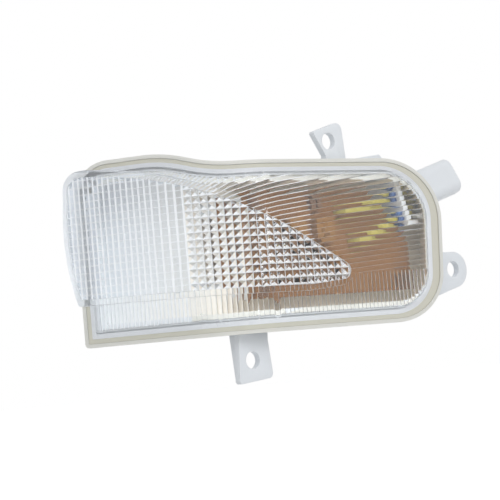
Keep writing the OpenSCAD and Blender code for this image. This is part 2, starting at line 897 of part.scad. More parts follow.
module resistor_2() {
    back_part(60, 0, 6.3, 3.2, 0.8, 1, "dimgray");
}

module diode_1() {
    back_part(62, 8, 4.6, 2.8, 2.2, 1.2, "black");
}

// Solder cones behind the board, round each leg and wire
module solder_joints() {
    joints = concat(
        [for (p = led_places) for (sx = [-1, 1]) for (sz = [-1, 1])
            [p.x + sx * leg_at, p.y + sz * leg_at, 1.9, leg_d]],
        [for (p = wire_holes) [p.x, p.y, wire_d + 1.4, wire_d]]);
    color("silver")
        translate(-origin_at)
            for (j = joints)
                difference() {
                    translate([j[0], board_y + board_t + play / 2, j[1]])
                        rotate([-90, 0, 0])
                            cylinder(h = 1, d1 = j[2], d2 = j[3] + 0.6, $fn = 24);
                    y_rod(j[0], j[1], board_y, board_t + 3, j[3] + play);
                }
}

// Place of a pin's inner end, worked out as at_pin places it
function turn_y(p, a) = [p.x * cos(a) + p.z * sin(a), p.y, p.z * cos(a) - p.x * sin(a)];
function turn_z(p, a) = [p.x * cos(a) - p.y * sin(a), p.x * sin(a) + p.y * cos(a), p.z];
function pin_end(side) =
    turn_y(turn_z([-side * pin_pitch / 2, 0, -web_back - pin_in - play], -shroud_twist),
           90 - shroud_rise) + [mouth_x, mouth_y, mouth_z];
function pin_way(l) = turn_y([0, 0, l], 90 - shroud_rise);

// Place and direction of the wires at their seals
function seal_place(side) =
    turn_y([-side * seal_pitch / 2, 0, 0], 90 - wire_rise) + [seals_x, seals_y, seals_z];
seal_way = turn_y([0, 0, 1], 90 - wire_rise);

// Tube along a smooth curve through the given points
wire_steps = 2;
wire_sides = 10;
// How far the wires draw together and back past their seals
wires_close = 1.6;
wires_back = 1.6;
function unit(v) = v / norm(v);
function curve_ends(p) = concat([2 * p[0] - p[1]], p, [2 * p[len(p) - 1] - p[len(p) - 2]]);
function on_curve(a, b, c, d, t) =
    b + (c - a) / 2 * t + (a - 2.5 * b + 2 * c - d / 2) * t * t + (1.5 * (b - c) + (d - a) / 2) * t * t * t;
function way_on_curve(a, b, c, d, t) =
    (c - a) / 2 + (2 * a - 5 * b + 4 * c - d) * t + (4.5 * (b - c) + 1.5 * (d - a)) * t * t;
module curved_tube(route, d) {
    p = curve_ends(route);
    stops = concat(
        [for (i = [1:len(p) - 3]) for (k = [0:wire_steps - 1]) [i, k / wire_steps]],
        [[len(p) - 3, 1]]);
    rings = [for (s = stops)
        let (i = s[0], at = on_curve(p[i - 1], p[i], p[i + 1], p[i + 2], s[1]),
             way = unit(way_on_curve(p[i - 1], p[i], p[i + 1], p[i + 2], s[1])),
             across = unit(cross(way, [0.1, 0.2, 1])), up = cross(across, way))
        for (k = [0:wire_sides - 1])
            let (a = 360 * k / wire_sides)
            at + d / 2 * (cos(a) * across + sin(a) * up)];
    last = len(stops) - 1;
    function r(i, k) = i * wire_sides + k % wire_sides;
    polyhedron(
        points = rings,
        faces = concat(
            [[for (k = [0:wire_sides - 1]) r(0, k)]],
            [[for (k = [wire_sides - 1:-1:0]) r(last, k)]],
            [for (i = [0:last - 1]) for (k = [0:wire_sides - 1])
                [r(i, k), r(i + 1, k), r(i + 1, k + 1), r(i, k + 1)]]));
}

// A wire leaves the board forwards, bends over its edge and passes its seal to its pin
module lead_wire(side) {
    h = wire_holes[side > 0 ? 0 : 1];
    hole = [h.x, board_y, h.y];
    seal = seal_place(side);
    end = pin_end(side);
    color("darkkhaki")
        translate(-origin_at)
            curved_tube([
                hole + [0, board_t + 0.9, 0], hole - [0, 0.3, 0], hole - [0, 2.6, 0],
                hole + [3, -5.4, 0.5],
                seal - 9 * seal_way - [0, 1.6, 0], seal - 5 * seal_way, seal - seal_way,
                seal + 1.6 * seal_way, seal + 3.6 * seal_way,
                seal + 6.6 * seal_way + [0, wires_back, -side * wires_close],
                end - pin_way(6.5), end - pin_way(2), end], wire_d);
}

module lead_wire_upper() {
    lead_wire(1);
}

module lead_wire_lower() {
    lead_wire(-1);
}

module wire_seal(side) {
    color("royalblue")
        translate(-origin_at)
            at_seal(side)
                translate([0, 0, seal_wall_t / 2 + 0.4 - seal_l])
                    difference() {
                        union() {
                            cylinder(h = seal_l, d = seal_d - 0.4);
                            for (z = [0.4, 1.8, 3.2])
                                translate([0, 0, z])
                                    cylinder(h = 0.7, d = seal_d);
                        }
                        translate([0, 0, -1])
                            cylinder(h = seal_l + 2, d = wire_d + 2 * play);
                    }
}

module wire_seal_upper() {
    wire_seal(1);
}

module wire_seal_lower() {
    wire_seal(-1);
}

module terminal_pin(side) {
    color("silver")
        translate(-origin_at)
            at_pin(side) {
                translate([0, 0, -pin_in])
                    cylinder(h = pin_in + web_t + pin_out - 1, d = pin_d);
                translate([0, 0, web_t + pin_out - 1])
                    cylinder(h = 1, d1 = pin_d, d2 = pin_d / 2);
            }
}

module terminal_pin_upper() {
    terminal_pin(1);
}

module terminal_pin_lower() {
    terminal_pin(-1);
}

module vent_patch() {
    color("dimgray")
        translate(-origin_at)
            y_rod(vent_x, vent_z, body_deep + play, vent_patch_t, vent_pad_d);
}

module led_1() { led(0); }
module led_2() { led(1); }
module led_3() { led(2); }
module led_4() { led(3); }
module led_5() { led(4); }
module led_6() { led(5); }

rear_housing();
front_lens();
seal_bead();
circuit_board();
board_screws();
led_1();
led_2();
led_3();
led_4();
led_5();
led_6();
resistor_1();
resistor_2();
diode_1();
solder_joints();
lead_wire_upper();
lead_wire_lower();
wire_seal_upper();
wire_seal_lower();
terminal_pin_upper();
terminal_pin_lower();
vent_patch();
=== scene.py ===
"""Looks of the mirror turn signal lamp: its clear lens, its housing, and what lies behind the lens.

Outlines are in millimetres in the lens's draw view: u to the right, v up and w towards the viewer.
"""

import math

import bmesh
import bpy
from mathutils import Matrix, Vector


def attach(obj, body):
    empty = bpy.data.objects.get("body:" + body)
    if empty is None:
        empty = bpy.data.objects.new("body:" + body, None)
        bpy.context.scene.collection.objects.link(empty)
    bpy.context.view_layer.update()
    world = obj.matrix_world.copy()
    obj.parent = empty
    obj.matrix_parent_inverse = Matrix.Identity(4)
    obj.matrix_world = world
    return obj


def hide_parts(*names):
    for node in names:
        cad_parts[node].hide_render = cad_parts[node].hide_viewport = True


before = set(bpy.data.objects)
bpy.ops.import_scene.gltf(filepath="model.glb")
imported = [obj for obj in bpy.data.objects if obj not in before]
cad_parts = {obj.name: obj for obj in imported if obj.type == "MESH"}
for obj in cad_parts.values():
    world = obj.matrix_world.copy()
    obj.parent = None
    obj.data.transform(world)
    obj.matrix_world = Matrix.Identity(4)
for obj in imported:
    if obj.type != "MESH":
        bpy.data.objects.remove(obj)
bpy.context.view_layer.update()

MM = 0.001

# Frame of the lamp: the row's origin is the front of the lower screw hole
ORIGIN_MM = Vector((4, 8, -34.3))
DRAW_TURN = math.radians(40)
SIDE_TURN = math.radians(65)
CORNER_X = 12.3
CORNER_R = 27.9
DRAW_TO_LAMP = Matrix((
    (math.cos(DRAW_TURN), 0, -math.sin(DRAW_TURN), 0),
    (-math.sin(DRAW_TURN), 0, -math.cos(DRAW_TURN), 0),
    (0, 1, 0, 0),
    (0, 0, 0, 1),
))
LAMP_TO_ROW = Matrix.Scale(MM, 4) @ Matrix.Translation(-ORIGIN_MM)

# Rim outline
RIM_LOW = 26
RIM_HIGH = 28.6
RIM_CREST = 33.5
RIM_LEFT = 55.4
RIM_RIGHT = 65.6
RIGHT_LEAN = 1
LOW_LEFT_R = 1.2
LEAST_R = 0.4
LOW_RIGHT_R = 17
HIGH_RIGHT_R = 20
HIGH_LEFT_R = 12
RISE_R = 45
RISE_U = -3

# Rim, channel and lens foot
RIM_WALL = 1.2
BEAD_W = 1.5
BEAD_EXTRA = 1.3
FOOT_IN = RIM_WALL + BEAD_W
FOOT_END_IN = FOOT_IN + 2
CHANNEL_IN = FOOT_END_IN + 0.7
CAVITY_IN = CHANNEL_IN + 1.6
CHANNEL_DEPTH = 4.2
RIM_DEPTH = 6
FOOT_CLEAR = 0.3
PLAY = 0.1
SEALED_AT = -0.6

# Lens
LENS_WALL = 2
FACE_IN = 4.2
FACE_UP = 3
LEDGE_UP = 1.3
OVERHANG_UP = 0.7
FACE_CAVITY_IN = FACE_IN + LENS_WALL * 0.52
FACE_INNER = FACE_UP - LENS_WALL
FIN_UP_FRONT = 5
FIN_UP_SIDE = 9
FIN_R = 36
FIN_FLOOR_UP = FACE_UP - LENS_WALL / 4
LENS_EDGE_R = 0.35

# Fin outline
FIN_LEFT = 58.78
FIN_LEFT_R = 85
FIN_LEFT_V = 10
FIN_LOW = 12.6
FIN_DROP = 1.3
FIN_TOP_R = 142.6
FIN_TOP = 30.8
FIN_TOP_U = -63.4
FIN_BEND_U = 15
TIP_R = 5
TIP_U = 32.8
TIP_V = -7.9
FIN_CORNER_R = 6

# Optics, which stand a little off the lens's inner skin
OPTIC_LIFT = 0.1

# Ribs of the lower strip: pitches on the side, round the corner and in front, and the count on the side
RIB_FRONT = 1.72
RIB_CORNER = RIB_FRONT * 0.92
RIB_SIDE = 1.35
RIB_H = 0.18
RIB_TOP = -9
RIB_SIDE_END_U = -20
RIB_CORNER_END_U = 10
SIDE_RIBS = 24

# Long flutes, with their pitch at each u
FLUTE_H = 0.16
FLUTE_COUNT = 62
FLUTE_FALL = 0.07
FLUTE_COLUMNS = 54
FLUTE_PITCHES = [(-45, 0.7), (-39, 0.79), (-33, 0.88), (-27, 0.99), (-22, 1.09), (-17, 1.2),
                 (-11, 1.31), (-5, 1.4), (2, 1.46), (9.4, 1.52), (30, 1.62), (64, 1.7)]

# Steps across a rib or flute, those of them that are frosted lines of painted highlight, and how far right
# the wide lines reach, as the highlights narrow to the right
RIB_STEPS = 8
WIDEST_LINE = (0, 1, 2, 6, 7)
WIDE_LINE = (0, 1, 7)
FINE_LINE = (7,)
WIDEST_COLUMNS = 18
WIDE_COLUMNS = 32

# Prisms and pillows of the fin; each width of a column holds right of its u
PRISM_V = 2.28
PRISM_H = 0.65
PRISM_EDGE = 0.17
PRISM_EDGE_H = 0.25
PRISM_EDGE_U = -18
# Right of this u, the prisms' right facets take painted shade too
PAINTED_SHADE_RIGHT_U = 4
PILLOW_H = 0.16
PILLOW_LINE = 0.15
PILLOW_EDGE = 0.08
PILLOW_EDGE_H = 0.1
BAR_SHARE = 0.17
COLUMN_STEPS = ((14, 2.28), (-20, 2.42), (-27, 2.5), (-43, 1.9), (-100, 1.6))

# Housing
BODY_WALL = 1.6
BODY_DEEP = 20
SIDE_DEEP = 14
BACK_R = 10
EAR_Y = 8
EAR_T = 2.4
EAR_HOLE_D = 5.6
HIGH_EAR = (44.5, 35.4)
LOW_EAR = (4, -34.3)
RIGHT_EAR = (97.1, -9.1)
GUSSET_T = 1.8
GUSSET_DEEP = 3.4
LUG_X = 57
LUG_W = 11.5
LUG_TOP = 31
LUG_FALL = 1.2
LUG_Y = 8.5
LUG_T = 3
VENT = (52, 2)
VENT_D = 3
BODY_EDGE_R = 0.8
RIM_EDGE_R = 0.4
SHROUD_EDGE_R = 0.4
EAR_EDGE_R = 0.3
LUG_EDGE_R = 0.25
GUSSET_EDGE_R = 0.2

# Connector
MOUTH = (104.2, 13, 23.5)
SHROUD_RISE = math.radians(16)
SHROUD_TWIST = math.radians(18)
SHROUD_W = 12.6
SHROUD_T = 8.6
SHROUD_R = 3.4
SHROUD_WALL = 1.5
SHROUD_L = 26.5
SOCKET_DEEP = 9.5
WEB_BACK = SOCKET_DEEP + 3
POCKET_L = 20
PIN_D = 1.5
PIN_PITCH = 5

# Board, its screws and the wall with the wire seals
BOARD_Y = 10
BOARD_T = 1.6
SCREW_D = 2.5
SCREW_L = 6.5
BOSS_D = 6
SCREW_PLACES = [(11, -12), (72.4, -12), (10, 15), (36, 15)]
SEALS = (72, 7.9, 13.4)
WIRE_RISE = math.radians(20)
SEAL_D = 4.6
SEAL_PITCH = 8
SEAL_WALL_T = 2
CHAMBER_LOW = 7.6
CHAMBER_HIGH = 10
CHAMBER_L = 20
CHAMBER_AHEAD = 3.4

# Longer than anything in the lamp, for tools that cut right through
FAR = 150

# Indices of a piece's second, third and fourth finish
SECOND = 1
THIRD = 2
FOURTH = 3
FINISHES = 4

# Edges between faces that turn more than this stay sharp
SHARP_ANGLE = math.radians(25)


def arc(centre, radius, start, end, step=3):
    """Points on an arc from angle start to end, in degrees."""
    count = max(1, math.ceil(abs(end - start) / step))
    angles = [math.radians(start + (end - start) * i / count) for i in range(count + 1)]
    return [Vector(centre) + radius * Vector((math.cos(a), math.sin(a))) for a in angles]


def skin_centre(front, side, radius):
    """Centre in plan of the corner between a front and a side that stand so far out."""
    out = Vector((-math.sin(SIDE_TURN), -math.cos(SIDE_TURN)))
    base = out.dot(Vector((CORNER_X, CORNER_R))) + CORNER_R
    y = radius - front
    return Vector(((base + side - radius - out.y * y) / out.x, y)), out


def skin_w(u, front, side, radius):
    """Height w of the skin over the point u of the draw view."""
    centre, _ = skin_centre(front, side, radius)
    cu = centre.x * math.cos(DRAW_TURN) - centre.y * math.sin(DRAW_TURN)
    cw = -centre.x * math.sin(DRAW_TURN) - centre.y * math.cos(DRAW_TURN)
    a = DRAW_TURN
    b = SIDE_TURN - DRAW_TURN
    if u > cu + radius * math.sin(a):
        return cw + radius * math.cos(a) - (u - cu - radius * math.sin(a)) * math.tan(a)
    if u < cu - radius * math.sin(b):
        return cw + radius * math.cos(b) + (u - cu + radius * math.sin(b)) * math.tan(b)
    return cw + math.sqrt(radius**2 - (u - cu) ** 2)


def even_skin_w(u, up):
    """Height w of the skin that lies so far outside the rim's own skin."""
    return skin_w(u, up, up, CORNER_R + up)


def fin_skin_w(u, inset):
    """Height w of the skin that lies so far inside the fin's own skin."""
    return skin_w(u, FIN_UP_FRONT - inset, FIN_UP_SIDE - inset, FIN_R - inset)


def rim_outline(inset, right_extra=0):
    """Rim outline moved in by inset, and by right_extra at the right end."""
    low_left = max(LOW_LEFT_R - inset, LEAST_R)
    rise_centre = Vector((RISE_U, RIM_HIGH + RISE_R))
    drop = RIM_HIGH - RIM_CREST + 2 * RISE_R
    crest_centre = Vector((RISE_U - math.sqrt(4 * RISE_R**2 - drop**2), RIM_CREST - RISE_R))
    rise = math.degrees(math.asin((rise_centre.x - crest_centre.x) / (2 * RISE_R)))
    right = RIM_RIGHT - right_extra
    return (
        arc((inset + low_left - RIM_LEFT, inset + low_left - RIM_LOW), low_left, 180, 270, 15)
        + arc((right - RIGHT_LEAN - LOW_RIGHT_R, LOW_RIGHT_R - RIM_LOW), LOW_RIGHT_R - inset, 270, 357)
        + arc((right - HIGH_RIGHT_R, RIM_HIGH - HIGH_RIGHT_R), HIGH_RIGHT_R - inset, 357, 450)
        + arc(rise_centre, RISE_R + inset, 270, 270 - rise)
        + arc(crest_centre, RISE_R - inset, 90 - rise, 90)
        + arc((HIGH_LEFT_R - RIM_LEFT, RIM_CREST - HIGH_LEFT_R), HIGH_LEFT_R - inset, 90, 180)
    )


def fin_outline(inset):
    """Fin outline moved in by inset."""
    tip = (TIP_U - TIP_R, TIP_V)
    top = (FIN_TOP_U, FIN_TOP - FIN_TOP_R)
    corner = (FIN_CORNER_R - FIN_LEFT + 0.9, FIN_TOP - FIN_CORNER_R - 0.6)
    left = (FIN_LEFT_R - FIN_LEFT, FIN_LEFT_V)
    top_start = math.degrees(math.acos((FIN_BEND_U - top[0]) / (FIN_TOP_R - inset)))
    left_end = math.degrees(math.asin((FIN_LEFT_V + FIN_LOW - inset) / (FIN_LEFT_R - inset)))
    return (
        arc(tip, TIP_R - inset, -80, 56, 6)
        + arc(top, FIN_TOP_R - inset, top_start, 85, 2)
        + arc(corner, FIN_CORNER_R - inset, 86, 172, 6)
        + arc(left, FIN_LEFT_R - inset, 173, 180 + left_end, 2)
        + [Vector((tip[0] - 2 * TIP_R, inset - FIN_LOW - FIN_DROP))]
    )


def skin_plan(front, side, radius):
    """Outline in plan of all that lies behind a skin."""
    centre, out = skin_centre(front, side, radius)
    along = Vector((out.y, -out.x))
    return (
        [Vector((FAR, FAR)), Vector((FAR, -front))]
        + arc(centre, radius, 270, 270 - math.degrees(SIDE_TURN), 1)
        + [centre + radius * out + FAR * along]
    )


def extruded(name, outline, thickness):
    """Solid from a closed flat outline, extruded upwards and centred on its own plane."""
    bm = bmesh.new()
    bm.faces.new([bm.verts.new((p.x, p.y, -thickness / 2)) for p in outline])
    grown = bmesh.ops.extrude_face_region(bm, geom=bm.faces[:])
    tops = [g for g in grown["geom"] if isinstance(g, bmesh.types.BMVert)]
    bmesh.ops.translate(bm, verts=tops, vec=(0, 0, thickness))
    bmesh.ops.recalc_face_normals(bm, faces=bm.faces)
    return as_object(name, bm)


def as_object(name, bm):
    """Object from a bmesh, with room for all its finishes."""
    mesh = bpy.data.meshes.new(name)
    bm.to_mesh(mesh)
    bm.free()
    for _ in range(FINISHES):
        mesh.materials.append(None)
    made = bpy.data.objects.new(name, mesh)
    bpy.context.scene.collection.objects.link(made)
    return made


def drawn(name, outline):
    """Prism of an outline in the draw view, in the lamp's frame."""
    made = extruded(name, outline, 2 * FAR)
    made.data.transform(DRAW_TO_LAMP)
    return made


def behind(name, front, side, radius):
    """All that lies behind a skin, in the lamp's frame."""
    return extruded(name, skin_plan(front, side, radius), FAR)


def behind_even(name, up):
    """All that lies behind the skin that stands so far out of the rim's own skin."""
    return behind(name, up, up, CORNER_R + up)


def settled(piece):
    """Applies a piece's modifiers."""
    bpy.context.view_layer.update()
    graph = bpy.context.evaluated_depsgraph_get()
    mesh = bpy.data.meshes.new_from_object(piece.evaluated_get(graph))
    old = piece.data
    piece.modifiers.clear()
    piece.data = mesh
    bpy.data.meshes.remove(old)
    return piece


def combined(piece, operation, *tools):
    """Joins, cuts or intersects a piece with tools, which are used up."""
    for tool in tools:
        change = piece.modifiers.new("shape", "BOOLEAN")
        change.operation = operation
        change.solver = "MANIFOLD"
        change.object = tool
        settled(piece)
        bpy.data.objects.remove(tool)
    return piece


def both(piece, *tools):
    return combined(piece, "INTERSECT", *tools)


def less(piece, *tools):
    return combined(piece, "DIFFERENCE", *tools)


def joined(piece, *tools):
    return combined(piece, "UNION", *tools)


def layer(name, outline, up, down):
    """Prism of an outline between two heights of the skin."""
    return less(both(drawn(name, outline), behind_even("top", up)), behind_even("bottom", down))


def band(name, outer, inner, up, down):
    """Band between two outlines, between two heights of the skin."""
    return less(layer(name, outer, up, down), drawn("inside", inner))


def in_finish(piece, finish=SECOND):
    """Gives all faces of a piece its second finish, or the one named."""
    for face in piece.data.polygons:
        face.material_index = finish
    return piece


def rounded_edges(piece, width, segments=3, angle=30, finish=-1):
    """Bevels a piece's edges sharper than an angle; the bevels get the finish given, or their faces' own."""
    edge = piece.modifiers.new("rounded", "BEVEL")
    edge.material = finish
    edge.width = width
    edge.segments = segments
    edge.limit_method = "ANGLE"
    edge.angle_limit = math.radians(angle)
    return settled(piece)


def optic_sheet(name, columns, rows, place, is_line):
    """Closed solid whose front is a grid, each point of which place(i, j) puts at [u, v, w].

    Faces of which is_line(i, j) holds are frosted lines, painted highlights where the flutes would catch the
    light.
    """
    bm = bmesh.new()
    bmesh.ops.create_grid(bm, x_segments=columns, y_segments=rows, size=1)
    for face in bm.faces:
        middle = face.calc_center_median()
        if is_line(int((middle.x + 1) / 2 * columns), int((middle.y + 1) / 2 * rows)):
            face.material_index = SECOND
    for vert in bm.verts:
        i = round((vert.co.x + 1) / 2 * columns)
        j = round((vert.co.y + 1) / 2 * rows)
        vert.co = place(i, j)
    return behind_front(name, bm)


def behind_front(name, bm):
    """Extrudes a front away from the viewer into a closed cutting tool."""
    grown = bmesh.ops.extrude_face_region(bm, geom=bm.faces[:], use_keep_orig=True)
    backs = [g for g in grown["geom"] if isinstance(g, bmesh.types.BMVert)]
    for vert in backs:
        vert.co.z = -FAR
    bmesh.ops.recalc_face_normals(bm, faces=bm.faces)
    made = as_object(name, bm)
    made.data.transform(DRAW_TO_LAMP)
    return made


def rib_across(step):
    """Place across a rib, from -1 to 1, closer together towards the valleys."""
    return math.sin(math.pi * ((step % RIB_STEPS) / RIB_STEPS - 0.5))


def rib_place(step):
    """Whole ribs and the share of the next one that lie before a step."""
    return step // RIB_STEPS + (rib_across(step) + 1) / 2


def rib_profile(step):
    """Section of a rib: nearly flat, with steep flanks down to the valleys."""
    return 1 - rib_across(step) ** 4


def rib_tool():
    """Upright ribs of the lower strip."""
    valleys = [1 - RIM_LEFT + CHANNEL_IN]
    while valleys[-1] < RIM_RIGHT:
        u = valleys[-1]
        if u < RIB_SIDE_END_U:
            step = RIB_SIDE * math.cos(SIDE_TURN - DRAW_TURN)
        elif u < RIB_CORNER_END_U:
            step = RIB_CORNER
        else:
            step = RIB_FRONT * math.cos(DRAW_TURN)
        valleys.append(u + step)

    def place(i, j):
        rib = min(i // RIB_STEPS, len(valleys) - 2)
        share = rib_place(i) - rib
        u = valleys[rib] + share * (valleys[rib + 1] - valleys[rib])
        w = even_skin_w(u, FACE_INNER) - OPTIC_LIFT - RIB_H * rib_profile(i)
        return (u, (-RIM_LOW, RIB_TOP)[j], w)

    def is_line(i, j):
        return i % RIB_STEPS in (WIDEST_LINE if i < SIDE_RIBS * RIB_STEPS else FINE_LINE)

    return optic_sheet("ribs", (len(valleys) - 1) * RIB_STEPS, 1, place, is_line)


def flute_pitch(u):
    """Height from one flute to the next at u."""
    for (u0, p0), (u1, p1) in zip(FLUTE_PITCHES, FLUTE_PITCHES[1:]):
        if u <= u1:
            return p0 + (p1 - p0) * max(u - u0, 0) / (u1 - u0)
    return FLUTE_PITCHES[-1][1]


def flute_tool():
    """Long flutes that fan out to the right."""
    first = FLUTE_PITCHES[0][0]
    last = FLUTE_PITCHES[-1][0]

    def place(i, j):
        u = first + (last - first) * i / FLUTE_COLUMNS
        pitch = flute_pitch(u)
        lowest = RIB_TOP - 1 - FLUTE_FALL * (RIM_RIGHT - u)
        height = FLUTE_H * pitch / FLUTE_PITCHES[-1][1] * rib_profile(j)
        w = even_skin_w(u, FACE_INNER) - OPTIC_LIFT - height
        return (u, lowest + pitch * rib_place(j), w)

    def is_line(i, j):
        if i < WIDEST_COLUMNS:
            return j % RIB_STEPS in WIDEST_LINE
        return j % RIB_STEPS in (WIDE_LINE if i < WIDE_COLUMNS else FINE_LINE)

    flutes = optic_sheet("flutes", FLUTE_COLUMNS, FLUTE_COUNT * RIB_STEPS, place, is_line)
    above = [Vector((-FAR, RIB_TOP)), Vector((FAR, RIB_TOP)), Vector((FAR, FAR)), Vector((-FAR, FAR))]
    return both(flutes, drawn("above", above))


def column_step(u):
    """Width of the column of the fin that ends at u."""
    return next(step for limit, step in COLUMN_STEPS if u > limit)


def cell_columns():
    """Edges of the fin's columns; left of the prisms each column has an upright bar of its own."""
    us = [TIP_U]
    while us[-1] > -FIN_LEFT:
        step = column_step(us[-1])
        if us[-1] < PRISM_EDGE_U:
            us.append(us[-1] - BAR_SHARE * step)
            us.append(us[-1] - (1 - BAR_SHARE) * step)
        else:
            us.append(us[-1] - step)
    return us[::-1]


def is_bar(cell):
    """Whether a cell is one of the narrow bars between the pillows."""
    us = [vert.co.x for vert in cell.verts]
    return max(us) - min(us) < 0.5 * column_step(max(us))


def facet_finish(facet, top):
    """Painted shade above a prism's top and, towards the tip, right of it; frosted painted highlight below
    it.
    """
    away = facet.calc_center_median() - top.co
    if away.y > abs(away.x) or (top.co.x > PAINTED_SHADE_RIGHT_U and away.x > abs(away.y)):
        return THIRD
    return SECOND if -away.y > abs(away.x) else 0


def moved_in(bm, faces, width, depth):
    """Moves each face in from its own edges and back, and gives the new faces round them."""
    return bmesh.ops.inset_individual(bm, faces=faces, thickness=width, depth=-depth)["faces"]


def prism_tool():
    """Prisms and pillows of the fin: cells with a frosted border of painted highlight, prisms with a raised
    centre too, and pillows in painted shade.
    """
    us = cell_columns()
    rows = math.ceil((FIN_TOP + FIN_LOW + FIN_DROP) / PRISM_V)
    low = -FIN_LOW - FIN_DROP
    bm = bmesh.new()
    bmesh.ops.create_grid(bm, x_segments=len(us) - 1, y_segments=rows, size=1)
    for vert in bm.verts:
        i = round((vert.co.x + 1) / 2 * (len(us) - 1))
        j = round((vert.co.y + 1) / 2 * rows)
        vert.co = (us[i], low + j * PRISM_V, fin_skin_w(us[i], LENS_WALL) - OPTIC_LIFT)
    bars = [cell for cell in bm.faces if is_bar(cell)]
    cells = [cell for cell in bm.faces if not is_bar(cell)]
    pillows = [cell for cell in cells if cell.calc_center_median().x < PRISM_EDGE_U]
    prisms = [cell for cell in cells if cell.calc_center_median().x > PRISM_EDGE_U]
    borders = moved_in(bm, pillows, PILLOW_LINE, 0)
    borders += moved_in(bm, pillows, PILLOW_EDGE, PILLOW_EDGE_H)
    borders += moved_in(bm, prisms, PRISM_EDGE, PRISM_EDGE_H)
    # Bars and borders take the frosted finish: white lines of painted highlight between the cells
    for face in bars + borders:
        face.material_index = SECOND
    for top in bmesh.ops.poke(bm, faces=prisms)["verts"]:
        for facet in top.link_faces:
            facet.material_index = facet_finish(facet, top)
        top.co.z -= PRISM_H
    # Pillow facets take the fourth finish: painted blue-grey shade over each cell
    for top in bmesh.ops.poke(bm, faces=pillows)["verts"]:
        for facet in top.link_faces:
            facet.material_index = FOURTH
        top.co.z -= PILLOW_H
    return behind_front("prisms", bm)


def lens_shell():
    """Lens from outside: foot, ledge, face and fin, with rounded edges."""
    foot = rim_outline(FOOT_IN, BEAD_EXTRA)
    # Walls, ledge, foot and undersides take the frosted finish: painted light that brightens them where
    # little light would come through the clear plastic
    face_walls = in_finish(drawn("lens_clear", rim_outline(FACE_IN, BEAD_EXTRA)))
    shell = less(both(face_walls, behind_even("face_top", FACE_UP)),
                 in_finish(behind_even("face_bottom", SEALED_AT)))
    ledge = layer("ledge", foot, LEDGE_UP, SEALED_AT)
    foot_band = band("foot", rim_outline(FOOT_IN + PLAY, BEAD_EXTRA), rim_outline(FOOT_END_IN),
                     0, FOOT_CLEAR - CHANNEL_DEPTH)
    fin_walls = in_finish(drawn("fin", fin_outline(0)))
    fin = less(both(fin_walls, behind("fin_skin", FIN_UP_FRONT, FIN_UP_SIDE, FIN_R)),
               in_finish(behind_even("fin_bottom", OVERHANG_UP)))
    joined(shell, in_finish(ledge), in_finish(foot_band), fin)
    # The rounded edges take the frosted finish too: a painted highlight along each edge
    return rounded_edges(shell, LENS_EDGE_R, finish=SECOND)


def lens():
    """Lens: the shell less the rooms behind its face and its fin, whose fronts are the optics."""
    shell = lens_shell()
    face_room = rim_outline(FACE_CAVITY_IN, BEAD_EXTRA)
    fin_room = fin_outline(LENS_WALL)
    face_cavity = both(joined(flute_tool(), rib_tool()), in_finish(drawn("face_room", face_room)))
    fin_cavity = both(prism_tool(), in_finish(drawn("fin_room", fin_room)))
    neck = both(prism_tool(), in_finish(drawn("fin_room", fin_room)), drawn("face_room", face_room))
    less(fin_cavity, behind_even("fin_floor", FIN_FLOOR_UP))
    return less(shell, face_cavity, fin_cavity, neck)


def bead():
    """Sealant between the rim wall and the lens foot, sunk a little between them."""
    sealant = band("sealant", rim_outline(RIM_WALL + PLAY / 2), rim_outline(CHANNEL_IN - PLAY / 2),
                   SEALED_AT / 2, PLAY / 2 - CHANNEL_DEPTH)
    foot_room = drawn("foot_room", rim_outline(FOOT_IN + PLAY / 2, BEAD_EXTRA))
    less(foot_room, drawn("foot_inside", rim_outline(CHANNEL_IN)),
         behind_even("foot_bottom", FOOT_CLEAR - PLAY / 2 - CHANNEL_DEPTH))
    ledge_room = less(drawn("ledge_room", rim_outline(FOOT_IN - PLAY / 2, BEAD_EXTRA)),
                      behind_even("ledge_bottom", SEALED_AT - PLAY / 2))
    return less(sealant, foot_room, ledge_room)


def plate(name, points, y, thickness):
    """Plate parallel to the flat front, from its outline in x and z."""
    made = extruded(name, [Vector(p) for p in points], thickness)
    made.data.transform(Matrix.Translation((0, y + thickness / 2, 0)) @ Matrix.Rotation(math.pi / 2, 4, "X"))
    return made


def rod(name, radius, length, place):
    """Cylinder from the origin of place along its z."""
    bm = bmesh.new()
    bmesh.ops.create_cone(bm, cap_ends=True, segments=64, radius1=radius, radius2=radius, depth=length,
                          matrix=place @ Matrix.Translation((0, 0, length / 2)))
    return as_object(name, bm)


def block(name, low, high, place):
    """Block between two opposite corners, in the axes of place."""
    bm = bmesh.new()
    size = Vector(high) - Vector(low)
    middle = (Vector(high) + Vector(low)) / 2
    bmesh.ops.create_cube(bm, size=1, matrix=place @ Matrix.Translation(middle) @ Matrix.Diagonal((*size, 1)))
    return as_object(name, bm)


def into(x, y, z):
    """Place whose z points backwards into the lamp."""
    return Matrix.Translation((x, y, z)) @ Matrix.Rotation(-math.pi / 2, 4, "X")


def ears():
    """Three screw ears, each from its outline round the centre of its hole."""
    high_foot = RIM_HIGH - CHANNEL_IN - HIGH_EAR[1]
    low_foot = CHANNEL_IN - RIM_LOW - LOW_EAR[1]
    outlines = (
        (HIGH_EAR, [Vector((-1.7, high_foot)), Vector((7.6, high_foot))] + arc((3.9, 3.6), 2.45, 0, 100, 6)
         + arc((-5.4, 2.6), 0.8, 100, 200, 12) + [Vector((-1.7, -4.9))]),
        (LOW_EAR, arc((-4.8, -6.2), 1.1, 180, 265, 8) + arc((6, -4.3), 1.9, 280, 364, 7)
         + [Vector((6.9, 5.9)), Vector((7.2, low_foot)), Vector((-4.4, low_foot))]),
        (RIGHT_EAR, arc((0.5, -0.2), 6.2, -68, 90, 4)
         + [Vector((-16, 6)), Vector((-16, -11)), Vector((-8.5, -8.9))]),
    )
    made = []
    for centre, outline in outlines:
        ear = plate("ear", [p + Vector(centre) for p in outline], EAR_Y, EAR_T)
        less(ear, rod("hole", EAR_HOLE_D / 2, EAR_T + 2, into(centre[0], EAR_Y - 1, centre[1])))
        made.append(rounded_edges(ear, EAR_EDGE_R))
    return made


